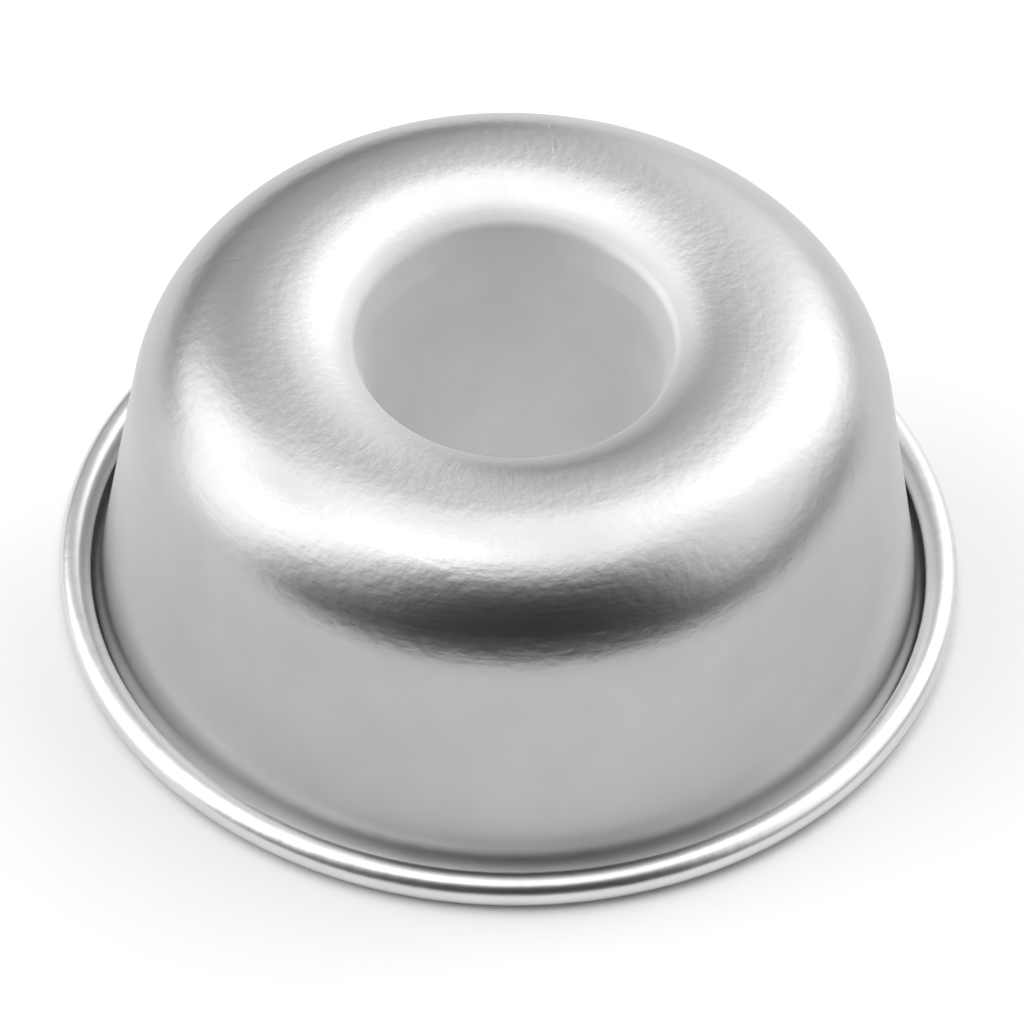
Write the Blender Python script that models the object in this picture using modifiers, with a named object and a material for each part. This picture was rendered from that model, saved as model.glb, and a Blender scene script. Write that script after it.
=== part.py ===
"""One-portion ring cake pan with an open centre tube, standing upside down on its rolled rim.

The pan is pressed from one aluminium sheet: the tube, the crown, the wall and the open curl of the
rim are one piece of metal. A stiffening wire lies inside the curl. Lengths are in metres, +Z is up
and the origin is the centre of the plane that the rim stands on.
"""

import math

import bpy

MM = 0.001

# The sheet and the outside of the pan
SHEET = 0.8 * MM
RIM_RADIUS = 50.0 * MM  # to the outside of the curl
PAN_HEIGHT = 39.3 * MM  # from the rim's plane to the crown
RIM_REACH = 4.5 * MM  # from where the wall's line meets the top of the flange to the curl's outside
WALL_DRAFT = math.radians(8.55)
CROWN_FILLET = 14.8 * MM  # between the wall and the crown

# The tube's mouth: the crown is dished down to a lip, where it breaks into a steeper throat
LIP_RADIUS = 17.5 * MM
LIP_DROP = 2.6 * MM  # from the crown down to the lip
LIP_FILLET = 2.0 * MM
DISH_MARGIN = 1.0 * MM  # flat outside the dish's round, and straight between it and the lip
THROAT_DEPTH = 6.6 * MM  # from the crown down to where the throat meets the tube
THROAT_SLOPE = math.radians(75.0)
THROAT_FILLET = 3.0 * MM

# The centre tube
TUBE_END_RADIUS = 13.9 * MM  # the bore at the tube's cut end
TUBE_END_HEIGHT = 1.8 * MM  # the cut end stays this far above the rim's plane

# The rim
FLARE_FILLET = 2.6 * MM  # between the wall and the flange
CURL_RADIUS = 1.8 * MM  # to the outside of the rolled sheet
CURL_END = math.radians(190.0)  # where the curl stops: 0 at its outermost point, 90 on its top

# The stiffening wire
WIRE_CLEARANCE = 0.3 * MM  # all round, inside the curl
WIRE_BUTT_GAP = 0.6 * MM  # between the wire's two ends

# Facets
TURNS = 72  # steps round the axis
THROAT_STEPS = 2
LIP_STEPS = 3
DISH_STEPS = 5
CROWN_STEPS = 8
FLARE_STEPS = 4
CURL_STEPS = 12
MERGE = 0.01 * MM


def clear_scene():
    """Removes whatever the file already holds."""
    for obj in list(bpy.data.objects):
        bpy.data.objects.remove(obj, do_unlink=True)


def new_collection(name):
    """A collection in the scene for the pan's own pieces."""
    collection = bpy.data.collections.new(name)
    bpy.context.scene.collection.children.link(collection)
    return collection


def metal(name, colour, roughness):
    """A bare metal, as a Principled BSDF."""
    material = bpy.data.materials.new(name)
    material.use_nodes = True
    shader = material.node_tree.nodes["Principled BSDF"]
    shader.inputs["Base Color"].default_value = (*colour, 1.0)
    shader.inputs["Metallic"].default_value = 1.0
    shader.inputs["Roughness"].default_value = roughness
    return material


def arc(centre, radius, start, end, steps):
    """Points along an arc in the (radius, height) plane, both ends included."""
    angles = [start + (end - start) * i / steps for i in range(steps + 1)]
    return [(centre[0] + radius * math.cos(a), centre[1] + radius * math.sin(a)) for a in angles]


def fillet(before, corner, after, radius, steps):
    """The arc that rounds a corner between two straight runs, tangent to both."""
    to_before = math.atan2(before[1] - corner[1], before[0] - corner[0])
    to_after = math.atan2(after[1] - corner[1], after[0] - corner[0])
    opening = (to_after - to_before + math.pi) % (2 * math.pi) - math.pi
    middle = to_before + opening / 2
    reach = radius / math.sin(abs(opening) / 2)
    centre = (corner[0] + reach * math.cos(middle), corner[1] + reach * math.sin(middle))
    side = math.copysign(math.pi / 2, opening)
    start = to_before - side
    sweep = opening - math.copysign(math.pi, opening)
    return arc(centre, radius, start, start + sweep, steps)


def mouth_corners(crown_edge):
    """The mouth's three corners from the tube outwards, each with its fillet's radius and steps.

    The dish takes the largest round that leaves its margin at the crown's edge and at the lip.
    """
    slope = 2 * math.atan(LIP_DROP / (crown_edge - LIP_RADIUS))
    dish_fillet = (LIP_DROP / math.sin(slope) - DISH_MARGIN) / math.tan(slope / 2)
    throat_radius = LIP_RADIUS - (THROAT_DEPTH - LIP_DROP) / math.tan(THROAT_SLOPE)
    throat = (throat_radius, PAN_HEIGHT - THROAT_DEPTH)
    lip = (LIP_RADIUS, PAN_HEIGHT - LIP_DROP)
    dish = (LIP_RADIUS + LIP_DROP / math.tan(slope), PAN_HEIGHT)
    return [
        (throat, THROAT_FILLET, THROAT_STEPS),
        (lip, LIP_FILLET, LIP_STEPS),
        (dish, dish_fillet, DISH_STEPS),
    ]


def sheet_profile():
    """The outer face of the sheet from the tube's cut end to the curl's, as (radius, height) points."""
    wall_root = (RIM_RADIUS - RIM_REACH, SHEET)
    shoulder = (wall_root[0] - (PAN_HEIGHT - SHEET) * math.tan(WALL_DRAFT), PAN_HEIGHT)
    crown_edge = shoulder[0] - CROWN_FILLET * math.tan((math.pi / 2 - WALL_DRAFT) / 2)
    curl_centre = (RIM_RADIUS - CURL_RADIUS, CURL_RADIUS)

    corners = mouth_corners(crown_edge)
    corners.append((shoulder, CROWN_FILLET, CROWN_STEPS))
    corners.append((wall_root, FLARE_FILLET, FLARE_STEPS))
    tube_end = (TUBE_END_RADIUS, TUBE_END_HEIGHT)
    curl_root = (curl_centre[0], SHEET)
    route = [tube_end] + [corner for corner, _, _ in corners] + [curl_root]

    points = [tube_end]
    for before, (corner, radius, steps), after in zip(route, corners, route[2:]):
        points += fillet(before, corner, after, radius, steps)
    points += arc(curl_centre, CURL_RADIUS - SHEET, -math.pi / 2, CURL_END, CURL_STEPS)
    return points


def revolve(obj, steps):
    """Turns the object's profile right round the vertical axis."""
    screw = obj.modifiers.new("revolve", "SCREW")
    screw.axis = "Z"
    screw.angle = 2 * math.pi
    screw.steps = steps
    screw.render_steps = steps
    screw.use_merge_vertices = True
    screw.merge_threshold = MERGE
    screw.use_smooth_shade = True


def thicken(obj, thickness):
    """Gives the sheet its thickness on the side that faces the batter."""
    solidify = obj.modifiers.new("sheet thickness", "SOLIDIFY")
    solidify.thickness = thickness
    solidify.offset = -1.0
    solidify.use_even_offset = True
    solidify.use_quality_normals = True
    solidify.use_rim = True


def pressed_shell(collection):
    """The tube, crown, wall and open rim curl, which are one pressed sheet."""
    profile = [(r, 0.0, z) for r, z in sheet_profile()]
    edges = [(i, i + 1) for i in range(len(profile) - 1)]
    mesh = bpy.data.meshes.new("pan_shell")
    mesh.from_pydata(profile, edges, [])
    shell = bpy.data.objects.new("pan_shell", mesh)
    collection.objects.link(shell)
    shell.data.materials.append(metal("satin anodised aluminium", (0.62, 0.62, 0.61), 0.35))
    revolve(shell, TURNS)
    thicken(shell, SHEET)
    return shell


def rim_wire(collection):
    """The wire ring that the curl closes over, with its two ends butted."""
    ring_radius = RIM_RADIUS - CURL_RADIUS
    wire_radius = CURL_RADIUS - SHEET - WIRE_CLEARANCE
    half_gap = WIRE_BUTT_GAP / 2 / ring_radius
    curve = bpy.data.curves.new("rim_wire", "CURVE")
    curve.dimensions = "3D"
    curve.bevel_depth = wire_radius
    curve.bevel_resolution = 2
    curve.use_fill_caps = True
    spline = curve.splines.new("POLY")
    ring = arc((0.0, 0.0), ring_radius, half_gap, 2 * math.pi - half_gap, TURNS)
    spline.points.add(len(ring) - 1)
    for point, (x, y) in zip(spline.points, ring):
        point.co = (x, y, 0.0, 1.0)
    wire = bpy.data.objects.new("rim_wire", curve)
    wire.location.z = CURL_RADIUS
    wire.data.materials.append(metal("galvanised steel wire", (0.45, 0.46, 0.47), 0.4))
    collection.objects.link(wire)
    return wire


def main():
    """Builds the pan's two pieces."""
    clear_scene()
    pan = new_collection("ring_cake_pan")
    pressed_shell(pan)
    rim_wire(pan)


main()
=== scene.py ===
"""Dresses the one-portion ring cake pan that stands upside down on its rolled rim.

The pan is two pieces: the pressed shell with its centre tube, and the wire inside the rim's curl.
Sizes are in millimetres and turned to metres where a mesh is made.
"""

import logging
import math
from dataclasses import dataclass, field

import bpy
from mathutils import Matrix, Vector


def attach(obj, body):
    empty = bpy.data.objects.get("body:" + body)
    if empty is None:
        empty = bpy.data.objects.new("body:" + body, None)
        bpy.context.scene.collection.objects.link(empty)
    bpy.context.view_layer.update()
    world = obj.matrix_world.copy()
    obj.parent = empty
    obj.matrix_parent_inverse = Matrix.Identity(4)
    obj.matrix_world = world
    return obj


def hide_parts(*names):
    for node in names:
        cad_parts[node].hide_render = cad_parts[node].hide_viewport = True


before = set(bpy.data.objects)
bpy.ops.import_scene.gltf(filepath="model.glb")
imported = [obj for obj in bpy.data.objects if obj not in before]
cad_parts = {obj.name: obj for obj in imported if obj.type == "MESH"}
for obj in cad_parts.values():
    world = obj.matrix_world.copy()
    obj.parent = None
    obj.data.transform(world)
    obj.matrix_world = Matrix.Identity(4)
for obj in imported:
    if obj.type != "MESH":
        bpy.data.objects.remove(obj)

logging.basicConfig(level=logging.INFO, format="%(message)s")
log = logging.getLogger("ring_cake_pan")

MM = 0.001
MARKS_RADIUS = 40.0  # mm from the axis, where the sheet's marks have their stated size round the pan
Point = tuple[float, float]
Span = tuple[float, float]
Colour = tuple[float, float, float, float]
Tree = bpy.types.NodeTree
Socket = bpy.types.NodeSocket


def linear(hex_colour: str) -> Colour:
    """Turns an sRGB hex colour to linear light.

    Args:
        hex_colour: The colour as "#rrggbb".

    Returns:
        Red, green, blue and an alpha of 1.
    """
    channels = [int(hex_colour[i:i + 2], 16) / 255 for i in (1, 3, 5)]
    light = [c / 12.92 if c <= 0.04045 else ((c + 0.055) / 1.055) ** 2.4 for c in channels]
    return (light[0], light[1], light[2], 1.0)


def add(tree: Tree, kind: str, inputs: dict | None = None, **settings) -> bpy.types.Node:
    """Adds a node with its settings, values and links.

    Args:
        tree: The node tree.
        kind: The node's type.
        inputs: What goes into each socket, by name or number: an output socket is linked, the rest is set.
        **settings: The node's own properties.

    Returns:
        The new node.
    """
    node = tree.nodes.new(kind)
    for name, value in settings.items():
        setattr(node, name, value)
    for socket, value in (inputs or {}).items():
        if isinstance(value, Socket):
            tree.links.new(value, node.inputs[socket])
        else:
            node.inputs[socket].default_value = value
    return node


def tree_with_geometry(name: str, sizes: dict[str, float | int]) -> tuple[Tree, bpy.types.Node]:
    """Starts a Geometry Nodes tree with a geometry input and output, and one named input for each size.

    Args:
        name: The tree's name.
        sizes: The inputs' names and their first values. A whole number makes an integer input.

    Returns:
        The tree and its Group Input node.
    """
    tree = bpy.data.node_groups.new(name, "GeometryNodeTree")
    tree.interface.new_socket("Geometry", in_out="INPUT", socket_type="NodeSocketGeometry")
    for label, value in sizes.items():
        kind = "NodeSocketInt" if isinstance(value, int) else "NodeSocketFloat"
        tree.interface.new_socket(label, in_out="INPUT", socket_type=kind).default_value = value
    tree.interface.new_socket("Geometry", in_out="OUTPUT", socket_type="NodeSocketGeometry")
    return tree, tree.nodes.new("NodeGroupInput")


def grown(source: bpy.types.Object, tree: Tree, sizes: dict[str, float | int], name: str) -> bpy.types.Object:
    """Runs a Geometry Nodes tree on an object and keeps the result as a plain mesh at the origin.

    Args:
        source: The object that the tree starts from. It is removed afterwards.
        tree: The tree.
        sizes: The values of the tree's inputs, by name.
        name: The finished piece's name.

    Returns:
        The finished piece.
    """
    modifier = source.modifiers.new("grow", "NODES")
    modifier.node_group = tree
    for item in tree.interface.items_tree:
        if item.item_type == "SOCKET" and item.in_out == "INPUT" and item.name in sizes:
            modifier[item.identifier] = sizes[item.name]
    depsgraph = bpy.context.evaluated_depsgraph_get()
    mesh = bpy.data.meshes.new_from_object(source.evaluated_get(depsgraph))
    source.modifiers.remove(modifier)
    bpy.data.objects.remove(source)
    mesh.name = name
    piece = bpy.data.objects.new(name, mesh)
    bpy.context.scene.collection.objects.link(piece)
    return piece


def arc(centre: Point, radius: float, start: float, end: float, steps: int) -> list[Point]:
    """Points along an arc in the (radius, height) plane, both ends included.

    Args:
        centre: The arc's centre.
        radius: Its radius.
        start: The angle of the first point, in radians.
        end: The angle of the last point.
        steps: The number of steps between them.

    Returns:
        The points.
    """
    angles = [start + (end - start) * i / steps for i in range(steps + 1)]
    return [(centre[0] + radius * math.cos(a), centre[1] + radius * math.sin(a)) for a in angles]


def fillet(before: Point, corner: Point, after: Point, radius: float, steps: int) -> list[Point]:
    """The arc that rounds a corner between two straight runs, tangent to both.

    Args:
        before: A point on the first run.
        corner: Where the runs meet.
        after: A point on the second run.
        radius: The arc's radius.
        steps: The number of steps along it.

    Returns:
        The arc's points, from the first run to the second.
    """
    to_before = math.atan2(before[1] - corner[1], before[0] - corner[0])
    to_after = math.atan2(after[1] - corner[1], after[0] - corner[0])
    opening = (to_after - to_before + math.pi) % (2 * math.pi) - math.pi
    middle = to_before + opening / 2
    reach = radius / math.sin(abs(opening) / 2)
    centre = (corner[0] + reach * math.cos(middle), corner[1] + reach * math.sin(middle))
    start = to_before - math.copysign(math.pi / 2, opening)
    return arc(centre, radius, start, start + opening - math.copysign(math.pi, opening), steps)


def divided(points: list[Point], longest: float) -> list[Point]:
    """Splits the long straight runs of an outline into even steps.

    Args:
        points: The outline.
        longest: The longest step that is left whole.

    Returns:
        The outline with its extra points.
    """
    result = [points[0]]
    for a, b in zip(points, points[1:]):
        steps = max(1, math.ceil(math.dist(a, b) / longest))
        result += [(a[0] + (b[0] - a[0]) * i / steps, a[1] + (b[1] - a[1]) * i / steps)
                   for i in range(1, steps + 1)]
    return result


def offset(points: list[Point], distance: float) -> list[Point]:
    """Moves a smooth outline sideways, to the right of its direction.

    Args:
        points: The outline.
        distance: How far it moves.

    Returns:
        The moved outline, point for point.
    """
    moved = []
    last = len(points) - 1
    for i, (r, z) in enumerate(points):
        a, b = points[max(i - 1, 0)], points[min(i + 1, last)]
        length = math.dist(a, b)
        moved.append((r + (b[1] - a[1]) / length * distance, z - (b[0] - a[0]) / length * distance))
    return moved


@dataclass(frozen=True)
class Scratch:
    """A fine scratch, as a straight cut between two points on the pan, in millimetres."""

    start: tuple[float, float, float]
    end: tuple[float, float, float]
    width: float
    depth: float  # below 0 for a raised burr or nick that catches the light


@dataclass(frozen=True)
class SheetMarks:
    """Marks that the tools and the stretching leave in the sheet, drawn as noise. Sizes are in mm."""

    around: float  # round the pan, at MARKS_RADIUS from its axis
    along: float  # from the tube towards the rim
    octaves: float
    height: float


@dataclass(frozen=True)
class SatinAluminium:
    """Anodised aluminium sheet, pressed from a disc, trimmed, rolled at the rim and satin etched.

    The etch scatters light over a wide lobe, so lamps show as soft bright bands with no edge. The
    tones along the sheet are painted light and shade: the bore, the dish round the mouth and the rim
    are lighter and the wall darker than the crown. These tones and the haze are fitted to the
    photograph together with LightTent's banks, not measured.
    """

    name: str = "satin_anodised_aluminium_pressed"
    colour: str = "#c4c4c4"
    # the wall's darker tone is painted shade
    wall_colour_painted_shade: str = "#b7b7b7"
    # the rim's lighter tone, over the flare and the curl, is painted light
    rim_colour_painted_light: str = "#e1e1e1"
    # the dish's lighter tone round the mouth is painted light
    dish_colour_painted_light: str = "#cfcfcf"
    # the bore's lighter tone is painted light
    bore_colour_painted_light: str = "#ededed"
    roughness: float = 0.33
    bore_roughness: float = 0.65

    # where each zone's painted tone and the bore's haze give way to the next, in mm along the sheet
    bore_ends: Span = (-0.5, 0.9)  # from the lip
    haze_ends: Span = (0.0, 5.0)  # from the lip
    dish_ends: Span = (7.0, 14.0)  # from the lip
    crown_ends: Span = (-15.0, -9.5)  # from the top of the wall
    wall_ends: Span = (-4.5, -1.5)  # from the start of the flange

    # where the marks set in and fade, in mm along the sheet
    stretch_starts: Span = (0.0, 3.0)  # from the lip
    stretch_ends: Span = (-3.0, 0.0)  # from the top of the wall
    comb_ends: Span = (8.0, 12.0)  # from the lip
    rolling_starts: Span = (0.0, 2.0)  # from the start of the flange

    cloud: float = 7.0  # mm, the patches of thicker and thinner anodising
    cloud_octaves: float = 3.0
    cloud_contrast: float = 0.03  # in colour
    grain: float = 0.3  # mm, the etched grain drawn coarse enough to show
    grain_octaves: float = 2.0
    grain_height: float = 0.0012  # mm, all over
    stretched_grain_height: float = 0.003  # mm more, where the crown's metal is stretched
    ring_contrast: float = 0.015  # in roughness, along the die's rings
    noise_middle: Span = (0.3, 0.7)  # where nearly all the values of a noise lie

    # faint rings from the die, the crown's stretched skin, fine lines out of the mouth, and the rolling tool
    die_rings: SheetMarks = SheetMarks(around=18.0, along=0.35, octaves=2.0, height=0.006)
    orange_peel: SheetMarks = SheetMarks(around=1.54, along=1.1, octaves=3.0, height=0.045)
    mouth_comb: SheetMarks = SheetMarks(around=0.5, along=6.0, octaves=2.0, height=0.007)
    curl_creases: SheetMarks = SheetMarks(around=1.3, along=2.4, octaves=2.0, height=0.05)

    def material(self, shell: "PressedShell") -> bpy.types.Material:
        """Builds the finish for the shell.

        Args:
            shell: The piece, for where along its sheet each zone begins.

        Returns:
            The material.
        """
        material = bpy.data.materials.new(self.name)
        material.use_nodes = True
        tree = material.node_tree
        shader = tree.nodes["Principled BSDF"]
        shader.inputs["Metallic"].default_value = 1.0
        place = add(tree, "ShaderNodeTexCoord").outputs["Object"]
        station = add(tree, "ShaderNodeAttribute", attribute_name="station").outputs["Fac"]
        lip, wall, flange = shell.lip_station, shell.wall_station, shell.flange_station

        # the place in millimetres, and its direction from the axis
        place_mm = add(tree, "ShaderNodeVectorMath", {0: place, "Scale": 1 / MM},
                       operation="SCALE").outputs[0]
        flat = add(tree, "ShaderNodeVectorMath", {0: place_mm, 1: (1, 1, 0)}, operation="MULTIPLY").outputs[0]
        heading = add(tree, "ShaderNodeVectorMath", {0: flat}, operation="NORMALIZE").outputs[0]

        def spread(marks: SheetMarks) -> Socket:
            """Lays marks over the sheet, each of one length round the pan and another along the sheet.

            Args:
                marks: The marks.

            Returns:
                Their relief, between about 0 and 1.
            """
            turned = add(tree, "ShaderNodeVectorMath", {0: heading, "Scale": MARKS_RADIUS / marks.around},
                         operation="SCALE").outputs[0]
            rise = add(tree, "ShaderNodeMath", {0: station, 1: 1 / marks.along},
                       operation="MULTIPLY").outputs[0]
            lift = add(tree, "ShaderNodeCombineXYZ", {"Z": rise}).outputs[0]
            laid = add(tree, "ShaderNodeVectorMath", {0: turned, 1: lift}, operation="ADD").outputs[0]
            return add(tree, "ShaderNodeTexNoise", {"Vector": laid, "Scale": 1.0,
                                                    "Detail": marks.octaves}).outputs["Fac"]

        def zone(origin: float, span: Span, start: float = 0.0, end: float = 1.0) -> Socket:
            """A value that changes smoothly between two places along the sheet.

            Args:
                origin: A place along the sheet, in mm from the tube's end.
                span: Where the change begins and ends, in mm from there.
                start: The value before it.
                end: The value after it.

            Returns:
                The value's socket.
            """
            return add(tree, "ShaderNodeMapRange", {
                "Value": station, "From Min": origin + span[0], "From Max": origin + span[1],
                "To Min": start, "To Max": end}, interpolation_type="SMOOTHSTEP").outputs[0]

        grain = add(tree, "ShaderNodeTexNoise", {"Vector": place_mm, "Scale": 1 / self.grain,
                                                 "Detail": self.grain_octaves}).outputs["Fac"]
        patches = add(tree, "ShaderNodeTexNoise", {"Vector": place_mm, "Scale": 1 / self.cloud,
                                                   "Detail": self.cloud_octaves}).outputs["Fac"]
        rings = spread(self.die_rings)
        low, high = self.noise_middle

        # colour: painted light and shade from the bore outwards, lighter in the bore, the dish and the rim
        # and darker on the wall, a little clouded by the anodising
        painted_tone: Socket | Colour = linear(self.bore_colour_painted_light)
        for change, colour in (
            (zone(lip, self.bore_ends), self.dish_colour_painted_light),
            (zone(lip, self.dish_ends), self.colour),
            (zone(wall, self.crown_ends), self.wall_colour_painted_shade),
            (zone(flange, self.wall_ends), self.rim_colour_painted_light),
        ):
            painted_tone = add(tree, "ShaderNodeMix", {"Factor": change, "A": painted_tone, "B": linear(colour)},
                       data_type="RGBA").outputs["Result"]
        cloud = add(tree, "ShaderNodeMapRange", {
            "Value": patches, "From Min": low, "From Max": high,
            "To Min": 1 - self.cloud_contrast, "To Max": 1 + self.cloud_contrast}).outputs[0]
        tint = add(tree, "ShaderNodeCombineColor", {0: cloud, 1: cloud, 2: cloud}).outputs[0]
        shaded = add(tree, "ShaderNodeMix", {"Factor": 1.0, "A": painted_tone, "B": tint}, data_type="RGBA",
                     blend_type="MULTIPLY").outputs["Result"]
        tree.links.new(shaded, shader.inputs["Base Color"])

        # gloss: hazier in the bore, and uneven along the die's rings
        haze = zone(lip, self.haze_ends, self.bore_roughness, self.roughness)
        uneven = add(tree, "ShaderNodeMapRange", {
            "Value": rings, "From Min": low, "From Max": high,
            "To Min": -self.ring_contrast, "To Max": self.ring_contrast}).outputs[0]
        gloss = add(tree, "ShaderNodeMath", {0: haze, 1: uneven}, operation="ADD").outputs[0]
        tree.links.new(gloss, shader.inputs["Roughness"])

        # relief, in mm: each layer with the zone that it fills, then the scratches
        crown = zone(wall, self.stretch_ends, 1.0, 0.0)
        beyond_lip = zone(lip, self.stretch_starts)
        stretched = add(tree, "ShaderNodeMath", {0: crown, 1: beyond_lip}, operation="MULTIPLY").outputs[0]
        dish = zone(lip, self.comb_ends, 1.0, 0.0)
        combed = add(tree, "ShaderNodeMath", {0: beyond_lip, 1: dish}, operation="MULTIPLY").outputs[0]
        relief: Socket | float = 0.0
        for layer, height, where in (
            (grain, self.grain_height, 1.0),
            (grain, self.stretched_grain_height, stretched),
            (rings, self.die_rings.height, stretched),
            (spread(self.orange_peel), self.orange_peel.height, stretched),
            (spread(self.mouth_comb), self.mouth_comb.height, combed),
            (spread(self.curl_creases), self.curl_creases.height, zone(flange, self.rolling_starts)),
        ):
            scaled = add(tree, "ShaderNodeMath", {0: layer, 1: height}, operation="MULTIPLY").outputs[0]
            kept = add(tree, "ShaderNodeMath", {0: scaled, 1: where}, operation="MULTIPLY").outputs[0]
            relief = add(tree, "ShaderNodeMath", {0: relief, 1: kept}).outputs[0]
        for scratch in shell.scratches:
            start, run = Vector(scratch.start), Vector(scratch.end) - Vector(scratch.start)
            reach = add(tree, "ShaderNodeVectorMath", {0: place_mm, 1: start},
                        operation="SUBTRACT").outputs[0]
            share = add(tree, "ShaderNodeVectorMath", {0: reach, 1: run / run.length_squared},
                        operation="DOT_PRODUCT").outputs["Value"]
            held = add(tree, "ShaderNodeClamp", {"Value": share}).outputs[0]
            foot = add(tree, "ShaderNodeVectorMath", {0: run, "Scale": held}, operation="SCALE").outputs[0]
            away = add(tree, "ShaderNodeVectorMath", {0: reach, 1: foot},
                       operation="DISTANCE").outputs["Value"]
            cut = add(tree, "ShaderNodeMapRange", {
                "Value": away, "From Min": 0.0, "From Max": scratch.width,
                "To Min": -scratch.depth, "To Max": 0.0}, interpolation_type="SMOOTHSTEP").outputs[0]
            relief = add(tree, "ShaderNodeMath", {0: relief, 1: cut}).outputs[0]
        bump = add(tree, "ShaderNodeBump", {"Height": relief, "Distance": MM}).outputs[0]
        tree.links.new(bump, shader.inputs["Normal"])
        return material


@dataclass(frozen=True)
class GalvanisedWire:
    """Drawn steel wire, hot-dip galvanised: a dull zinc grey with a faint spangle."""

    name: str = "galvanised_steel_wire_drawn"
    colour: str = "#aaabad"
    roughness: float = 0.45
    spangle: float = 1.5  # mm
    spangle_contrast: float = 0.06  # in roughness

    def material(self) -> bpy.types.Material:
        """Builds the finish.

        Returns:
            The material.
        """
        material = bpy.data.materials.new(self.name)
        material.use_nodes = True
        tree = material.node_tree
        shader = tree.nodes["Principled BSDF"]
        shader.inputs["Metallic"].default_value = 1.0
        shader.inputs["Base Color"].default_value = linear(self.colour)
        place = add(tree, "ShaderNodeTexCoord").outputs["Object"]
        crystals = add(tree, "ShaderNodeTexVoronoi", {"Vector": place, "Scale": 1 / (self.spangle * MM)})
        gloss = add(tree, "ShaderNodeMapRange", {
            "Value": crystals.outputs["Distance"], "To Min": self.roughness - self.spangle_contrast,
            "To Max": self.roughness + self.spangle_contrast}).outputs[0]
        tree.links.new(gloss, shader.inputs["Roughness"])
        return material


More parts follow.
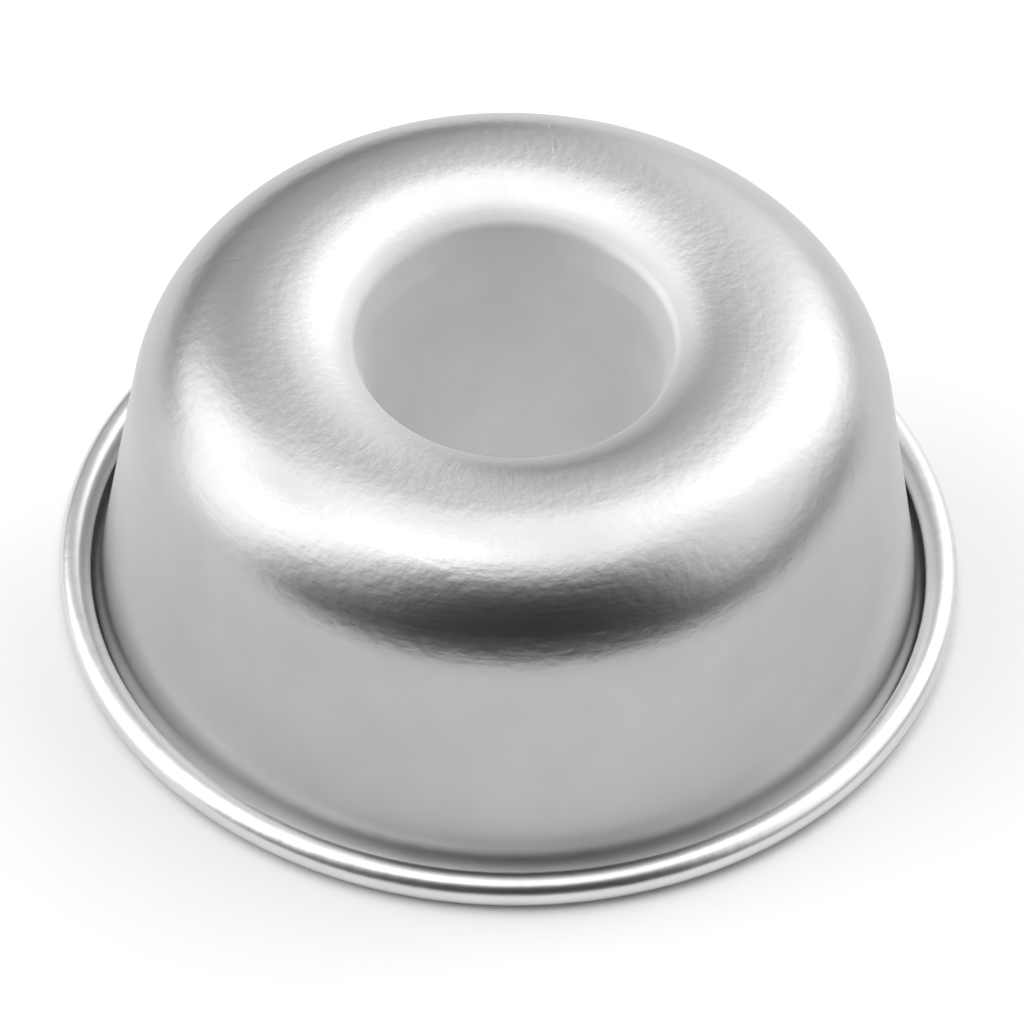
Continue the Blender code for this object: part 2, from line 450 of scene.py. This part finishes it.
@dataclass
class PressedShell:
    """The tube, crown, wall and open rim curl, which are one pressed sheet. Sizes are in mm and degrees."""

    sheet: float = 0.8
    rim_radius: float = 50.0
    height: float = 39.3
    rim_reach: float = 4.5
    wall_draft: float = 8.55
    crown_fillet: float = 14.8
    lip_radius: float = 17.5
    lip_drop: float = 2.6
    lip_fillet: float = 2.0
    dish_margin: float = 1.0
    throat_depth: float = 6.6
    throat_slope: float = 75.0
    throat_fillet: float = 3.0
    tube_end_radius: float = 13.9
    tube_end_height: float = 1.8
    flare_fillet: float = 2.6
    curl_radius: float = 1.8
    curl_end: float = 190.0
    edge_round: float = 0.2  # at the sheet's two cut edges
    ripple_height: float = 0.05  # the rolling tool's marks on the curl
    ripple_length: float = 2.4
    ripple_octaves: float = 1.0
    ripple_starts: Span = (1.0, 2.5)  # along the sheet from the start of the flange
    turns: int = 480
    throat_steps: int = 6
    lip_steps: int = 8
    dish_steps: int = 14
    crown_steps: int = 24
    flare_steps: int = 8
    curl_steps: int = 28
    edge_steps: int = 3
    longest_step: float = 4.0  # on a straight run
    finish: SatinAluminium = field(default_factory=SatinAluminium)
    scratches: tuple[Scratch, ...] = (
        Scratch((-35.1, 10.0, 35.8), (-30.3, 9.6, 38.5), 0.3, 0.02),
        Scratch((3.3, 32.3, 38.2), (3.8, 27.1, 39.3), 0.3, 0.015),
        Scratch((9.3, -38.4, 32.2), (10.3, -38.2, 32.2), 0.4, -0.02),
        Scratch((40.8, -5.0, 28.9), (40.9, -5.0, 28.5), 0.35, 0.05),
        Scratch((-15.9, -19.6, 39.3), (-15.3, -18.9, 39.3), 0.35, -0.01),
    )

    @property
    def lip_station(self) -> float:
        """The lip's distance from the tube's cut end along the sheet, in mm."""
        throat = self.throat()
        return math.dist((self.tube_end_radius, self.tube_end_height), throat) + math.dist(throat, self.lip())

    @property
    def wall_station(self) -> float:
        """How far along the sheet the wall's straight run starts, in mm from the tube's cut end."""
        return self.outside()[1][-2]

    @property
    def flange_station(self) -> float:
        """How far along the sheet the narrow flange before the curl starts, in mm from the cut end."""
        return self.outside()[1][-1]

    def lip(self) -> Point:
        """The corner where the dish breaks into the throat."""
        return (self.lip_radius, self.height - self.lip_drop)

    def throat(self) -> Point:
        """The corner where the throat meets the tube."""
        inset = (self.throat_depth - self.lip_drop) / math.tan(math.radians(self.throat_slope))
        return (self.lip_radius - inset, self.height - self.throat_depth)

    def outside(self) -> tuple[list[Point], list[float], int]:
        """The face of the sheet that is outside the pan, from the tube's cut end to the curl's.

        Returns:
            The outline, how far along it each round ends, and the index of the curl's first point.
        """
        draft = math.radians(self.wall_draft)
        wall_root = (self.rim_radius - self.rim_reach, self.sheet)
        shoulder = (wall_root[0] - (self.height - self.sheet) * math.tan(draft), self.height)
        crown_edge = shoulder[0] - self.crown_fillet * math.tan((math.pi / 2 - draft) / 2)
        slope = 2 * math.atan(self.lip_drop / (crown_edge - self.lip_radius))
        dish_fillet = (self.lip_drop / math.sin(slope) - self.dish_margin) / math.tan(slope / 2)
        dish = (self.lip_radius + self.lip_drop / math.tan(slope), self.height)
        curl_centre = (self.rim_radius - self.curl_radius, self.curl_radius)
        tube_end = (self.tube_end_radius, self.tube_end_height)
        bends = (
            (self.throat(), self.throat_fillet, self.throat_steps),
            (self.lip(), self.lip_fillet, self.lip_steps),
            (dish, dish_fillet, self.dish_steps),
            (shoulder, self.crown_fillet, self.crown_steps),
            (wall_root, self.flare_fillet, self.flare_steps),
        )
        route = [tube_end] + [corner for corner, _, _ in bends] + [(curl_centre[0], self.sheet)]
        points = [tube_end]
        ends = []
        for before, (corner, radius, steps), after in zip(route, bends, route[2:]):
            points += fillet(before, corner, after, radius, steps)
            ends.append(sum(math.dist(a, b) for a, b in zip(points, points[1:])))
        points = divided(points, self.longest_step)
        rolled = arc(curl_centre, self.curl_radius - self.sheet, -math.pi / 2, math.radians(self.curl_end),
                     self.curl_steps)
        return points + rolled, ends, len(points)

    def section(self) -> list[tuple[float, float, float]]:
        """The sheet's closed section.

        Returns:
            Points as radius, height and distance along the sheet from the tube's cut end.
        """
        outside, _, flange = self.outside()
        batter = offset(outside, self.sheet)
        stations = [0.0]
        for a, b in zip(outside, outside[1:]):
            stations.append(stations[-1] + math.dist(a, b))
        closed = [(*outside[i], stations[i]) for i in range(1, len(outside) - 1)]
        for before, corner, after in (
            (outside[-2], outside[-1], batter[-1]),
            (outside[-1], batter[-1], batter[-2]),
        ):
            rounded = fillet(before, corner, after, self.edge_round, self.edge_steps)
            closed += [(*p, stations[-1]) for p in rounded]
        # the batter's face has half as many points, except in the curl
        kept = [i for i in range(1, len(outside) - 1) if i >= flange or i % 2]
        closed += [(*batter[i], stations[i]) for i in reversed(kept)]
        for before, corner, after in (
            (batter[1], batter[0], outside[0]),
            (batter[0], outside[0], outside[1]),
        ):
            rounded = fillet(before, corner, after, self.edge_round, self.edge_steps)
            closed += [(*p, stations[0]) for p in rounded]
        return closed

    def build(self) -> bpy.types.Object:
        """Sweeps the section round the axis.

        Returns:
            The shell.
        """
        section = self.section()
        mesh = bpy.data.meshes.new("section")
        # the sweep lays a section's X outwards from the circle and its Y downwards
        circle = self.tube_end_radius
        mesh.from_pydata([((r - circle) * MM, -z * MM, 0.0) for r, z, _ in section],
                         [(i, (i + 1) % len(section)) for i in range(len(section))], [])
        stations = [station for _, _, station in section]
        mesh.attributes.new("station", "FLOAT", "POINT").data.foreach_set("value", stations)
        outline = bpy.data.objects.new("section", mesh)
        bpy.context.scene.collection.objects.link(outline)

        sizes = {"Turns": self.turns, "Circle Radius": circle * MM, "Flange Start": self.flange_station,
                 "Ripple Height": self.ripple_height * MM, "Ripple Length": self.ripple_length * MM}
        tree, given = tree_with_geometry("pressed_shell_sweep", sizes)
        profile = add(tree, "GeometryNodeMeshToCurve", {"Mesh": given.outputs["Geometry"]}).outputs[0]
        ring = add(tree, "GeometryNodeCurvePrimitiveCircle", {
            "Resolution": given.outputs["Turns"], "Radius": given.outputs["Circle Radius"]}).outputs[0]
        level = add(tree, "GeometryNodeSetCurveNormal", {"Curve": ring}, mode="Z_UP").outputs[0]
        swept = add(tree, "GeometryNodeCurveToMesh", {"Curve": level, "Profile Curve": profile}).outputs[0]
        # the rolling tool's marks only press the curl inwards
        station = add(tree, "GeometryNodeInputNamedAttribute", {"Name": "station"},
                      data_type="FLOAT").outputs[0]
        beyond = add(tree, "ShaderNodeMath", {0: station, 1: given.outputs["Flange Start"]},
                     operation="SUBTRACT").outputs[0]
        mask = add(tree, "ShaderNodeMapRange", {"Value": beyond, "From Min": self.ripple_starts[0],
                                                "From Max": self.ripple_starts[1]},
                   interpolation_type="SMOOTHSTEP").outputs[0]
        waves = add(tree, "ShaderNodeMath", {0: 1.0, 1: given.outputs["Ripple Length"]},
                    operation="DIVIDE").outputs[0]
        press = add(tree, "ShaderNodeTexNoise", {"Scale": waves,
                                                 "Detail": self.ripple_octaves}).outputs["Fac"]
        depth = add(tree, "ShaderNodeMath", {0: press, 1: mask}, operation="MULTIPLY").outputs[0]
        height = add(tree, "ShaderNodeMath", {0: depth, 1: given.outputs["Ripple Height"]},
                     operation="MULTIPLY").outputs[0]
        inwards = add(tree, "ShaderNodeMath", {0: height, 1: -1.0}, operation="MULTIPLY").outputs[0]
        normal = add(tree, "GeometryNodeInputNormal").outputs[0]
        push = add(tree, "ShaderNodeVectorMath", {0: normal, "Scale": inwards}, operation="SCALE").outputs[0]
        pressed = add(tree, "GeometryNodeSetPosition", {"Geometry": swept, "Offset": push}).outputs[0]
        smooth = add(tree, "GeometryNodeSetShadeSmooth", {"Geometry": pressed}).outputs[0]
        real = add(tree, "GeometryNodeRealizeInstances", {"Geometry": smooth}).outputs[0]
        dressed = add(tree, "GeometryNodeSetMaterial", {
            "Geometry": real, "Material": self.finish.material(self)}).outputs[0]
        add(tree, "NodeGroupOutput", {"Geometry": dressed})
        return grown(outline, tree, sizes, "pan_shell_pressed")

    def dress(self, piece: bpy.types.Object) -> None:
        """Puts the piece in the CAD node's place.

        Args:
            piece: The shell.
        """
        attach(piece, "root")
        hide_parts("pan_shell")


@dataclass
class RimWire:
    """The wire ring that the curl closes over, with its two ends butted. Sizes are in mm."""

    shell: PressedShell
    clearance: float = 0.3  # all round, inside the curl
    butt_gap: float = 0.6
    steps: int = 240
    sides: int = 16
    finish: GalvanisedWire = field(default_factory=GalvanisedWire)

    def build(self) -> bpy.types.Object:
        """Bends the wire round the ring.

        Returns:
            The wire.
        """
        height = self.shell.curl_radius
        ring_radius = self.shell.rim_radius - self.shell.curl_radius
        wire_radius = self.shell.curl_radius - self.shell.sheet - self.clearance
        half_gap = self.butt_gap / 2 / ring_radius
        ring = arc((0.0, 0.0), ring_radius * MM, half_gap, 2 * math.pi - half_gap, self.steps)
        mesh = bpy.data.meshes.new("wire_line")
        edges = [(i, i + 1) for i in range(self.steps)]
        mesh.from_pydata([(x, y, height * MM) for x, y in ring], edges, [])
        line = bpy.data.objects.new("wire_line", mesh)
        bpy.context.scene.collection.objects.link(line)
        sizes = {"Wire Radius": wire_radius * MM, "Sides": self.sides}
        tree, given = tree_with_geometry("rim_wire_sweep", sizes)
        path = add(tree, "GeometryNodeMeshToCurve", {"Mesh": given.outputs["Geometry"]}).outputs[0]
        level = add(tree, "GeometryNodeSetCurveNormal", {"Curve": path}, mode="Z_UP").outputs[0]
        round_bar = add(tree, "GeometryNodeCurvePrimitiveCircle", {
            "Resolution": given.outputs["Sides"], "Radius": given.outputs["Wire Radius"]}).outputs[0]
        swept = add(tree, "GeometryNodeCurveToMesh", {
            "Curve": level, "Profile Curve": round_bar, "Fill Caps": True}).outputs[0]
        smooth = add(tree, "GeometryNodeSetShadeSmooth", {"Geometry": swept}).outputs[0]
        real = add(tree, "GeometryNodeRealizeInstances", {"Geometry": smooth}).outputs[0]
        dressed = add(tree, "GeometryNodeSetMaterial", {
            "Geometry": real, "Material": self.finish.material()}).outputs[0]
        add(tree, "NodeGroupOutput", {"Geometry": dressed})
        return grown(line, tree, sizes, "rim_wire_galvanised")

    def dress(self, piece: bpy.types.Object) -> None:
        """Puts the piece in the CAD node's place.

        Args:
            piece: The wire.
        """
        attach(piece, "root")
        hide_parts("rim_wire")


@dataclass(frozen=True)
class SoftBank:
    """One bank of the light tent: where it stands round the pan and how high it reaches, in degrees."""

    name: str
    azimuth: float  # of its middle, from +X towards +Y
    half_width: float
    low: float  # above the horizon
    high: float  # the same; far enough past 90, it doesn't fade towards the zenith
    edge: float  # over which it fades out
    strength: float


@dataclass
class LightTent:
    """Soft light: banks of white cloth round the pan, with the camera's side left dark.

    The banks are fitted to the reflections in the photograph. The real studio's lamps aren't known.
    """

    cloth: str = "#ffffff"
    backdrop: str = "#f8f8f8"  # what a camera sees beyond the floor
    banks: tuple[SoftBank, ...] = (
        SoftBank("left bank", 178.0, 21.0, -3.0, 48.0, 28.0, 2.19),
        SoftBank("left front bank", 203.0, 12.0, 35.0, 95.0, 60.0, 3.86),
        SoftBank("right rear bank", 57.0, 30.0, 2.0, 64.0, 12.0, 1.13),
        SoftBank("right bank", 14.0, 45.0, 14.0, 63.0, 31.0, 1.46),
        SoftBank("rear bank", 125.0, 37.0, 12.0, 84.0, 7.0, 0.52),
        SoftBank("overhead cloth, rear half", 90.0, 90.0, 58.0, 120.0, 17.0, 1.3),
        SoftBank("overhead cloth, front half", 270.0, 90.0, 66.0, 120.0, 15.0, 1.72),
        SoftBank("low rear bank", 148.0, 10.0, 11.0, 57.0, 8.0, 1.27),
    )

    def build(self) -> None:
        """Builds the tent as the world's light."""
        world = bpy.data.worlds.new("light_tent")
        bpy.context.scene.world = world
        world.use_nodes = True
        tree = world.node_tree
        tree.nodes.clear()
        heading = add(tree, "ShaderNodeTexCoord").outputs["Generated"]
        axes = add(tree, "ShaderNodeSeparateXYZ", {0: heading})
        turn = add(tree, "ShaderNodeMath", {0: axes.outputs["Y"], 1: axes.outputs["X"]},
                   operation="ARCTAN2").outputs[0]
        lift = add(tree, "ShaderNodeMath", {0: axes.outputs["Z"]}, operation="ARCSINE").outputs[0]
        total: Socket | float = 0.0
        for bank in self.banks:
            side = add(tree, "ShaderNodeMath", {0: turn, 1: math.radians(bank.azimuth)},
                       operation="SUBTRACT").outputs[0]
            wrapped = add(tree, "ShaderNodeMath", {0: side, 1: math.pi, 2: -math.pi},
                          operation="WRAP").outputs[0]
            off_axis = add(tree, "ShaderNodeMath", {0: wrapped}, operation="ABSOLUTE").outputs[0]
            light: Socket | float = bank.strength
            for value, limit, way in (
                (off_axis, bank.half_width, -1),
                (lift, bank.low, 1),
                (lift, bank.high, -1),
            ):
                fade = add(tree, "ShaderNodeMapRange", {
                    "Value": value, "From Min": math.radians(limit - way * bank.edge / 2),
                    "From Max": math.radians(limit + way * bank.edge / 2),
                }, interpolation_type="SMOOTHSTEP").outputs[0]
                light = add(tree, "ShaderNodeMath", {0: light, 1: fade}, operation="MULTIPLY").outputs[0]
            total = add(tree, "ShaderNodeMath", {0: total, 1: light}).outputs[0]
        tent = add(tree, "ShaderNodeBackground", {"Color": linear(self.cloth), "Strength": total}).outputs[0]
        paper = add(tree, "ShaderNodeBackground", {"Color": linear(self.backdrop)}).outputs[0]
        seen = add(tree, "ShaderNodeLightPath").outputs["Is Camera Ray"]
        mixed = add(tree, "ShaderNodeMixShader", {0: seen, 1: tent, 2: paper}).outputs[0]
        add(tree, "ShaderNodeOutputWorld", {"Surface": mixed})
        for bank in self.banks:
            log.info("light: %s at %g degrees", bank.name, bank.azimuth)


@dataclass
class Floor:
    """A sheet of matt white paper under the pan, which ends on the camera's side of it."""

    reach: float = 2.5  # m, to the sides and behind
    front: float = 0.3  # m, to the paper's edge, fitted to where the crown's dark reflection ends
    drop: float = 0.02  # mm below the rim, so that the two faces don't share a plane
    colour: str = "#f6f6f6"
    roughness: float = 0.9

    def build(self) -> bpy.types.Object:
        """Lays the floor.

        Returns:
            The floor.
        """
        side, front, back = self.reach, -self.front, self.reach
        outline = ((-side, front), (side, front), (side, back), (-side, back))
        mesh = bpy.data.meshes.new("floor")
        mesh.from_pydata([(x, y, -self.drop * MM) for x, y in outline], [], [(0, 1, 2, 3)])
        material = bpy.data.materials.new("matt_white_paper")
        material.use_nodes = True
        shader = material.node_tree.nodes["Principled BSDF"]
        shader.inputs["Base Color"].default_value = linear(self.colour)
        shader.inputs["Roughness"].default_value = self.roughness
        shader.inputs["Specular IOR Level"].default_value = 0.0
        mesh.materials.append(material)
        floor = bpy.data.objects.new("floor", mesh)
        bpy.context.scene.collection.objects.link(floor)
        return floor


@dataclass
class PhotoCamera:
    """The camera at the photograph's place. Lengths are in mm and angles in degrees."""

    aim_height: float = 20.0
    elevation: float = 46.47
    distance: float = 924.4
    roll: float = 1.58
    slide: Point = (0.235, -7.045)  # of the camera across its own view, to the right and up
    lens: float = 296.34
    sensor: float = 36.0
    nearest: float = 10.0  # what it can see
    farthest: float = 20000.0

    def build(self) -> None:
        """Places the camera and makes it the scene's own."""
        lift = math.radians(self.elevation)
        back = Vector((0.0, -math.cos(lift), math.sin(lift)))
        right = Vector((1.0, 0.0, 0.0))
        up = right.cross(-back)
        place = Vector((0.0, 0.0, self.aim_height)) + back * self.distance
        place = place + right * self.slide[0] + up * self.slide[1]
        turn = math.radians(self.roll)
        axis_x = right * math.cos(turn) + up * math.sin(turn)
        axis_y = up * math.cos(turn) - right * math.sin(turn)
        data = bpy.data.cameras.new("photo_camera")
        data.lens = self.lens
        data.sensor_width = self.sensor
        data.clip_start, data.clip_end = self.nearest * MM, self.farthest * MM
        camera = bpy.data.objects.new("photo_camera", data)
        camera.matrix_world = Matrix((
            (axis_x.x, axis_y.x, back.x, place.x * MM),
            (axis_x.y, axis_y.y, back.y, place.y * MM),
            (axis_x.z, axis_y.z, back.z, place.z * MM),
            (0.0, 0.0, 0.0, 1.0),
        ))
        bpy.context.scene.collection.objects.link(camera)
        bpy.context.scene.camera = camera


def main() -> None:
    """Builds the pan's pieces, the floor, the light and the camera."""
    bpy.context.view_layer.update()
    bpy.context.scene.view_settings.view_transform = "Standard"
    PhotoCamera().build()
    shell = PressedShell()
    for assembly in (shell, RimWire(shell)):
        piece = assembly.build()
        assembly.dress(piece)
        log.info("%s: %d points, %d faces", piece.name, len(piece.data.vertices), len(piece.data.polygons))
    Floor().build()
    LightTent().build()


if __name__ == "__main__":
    main()
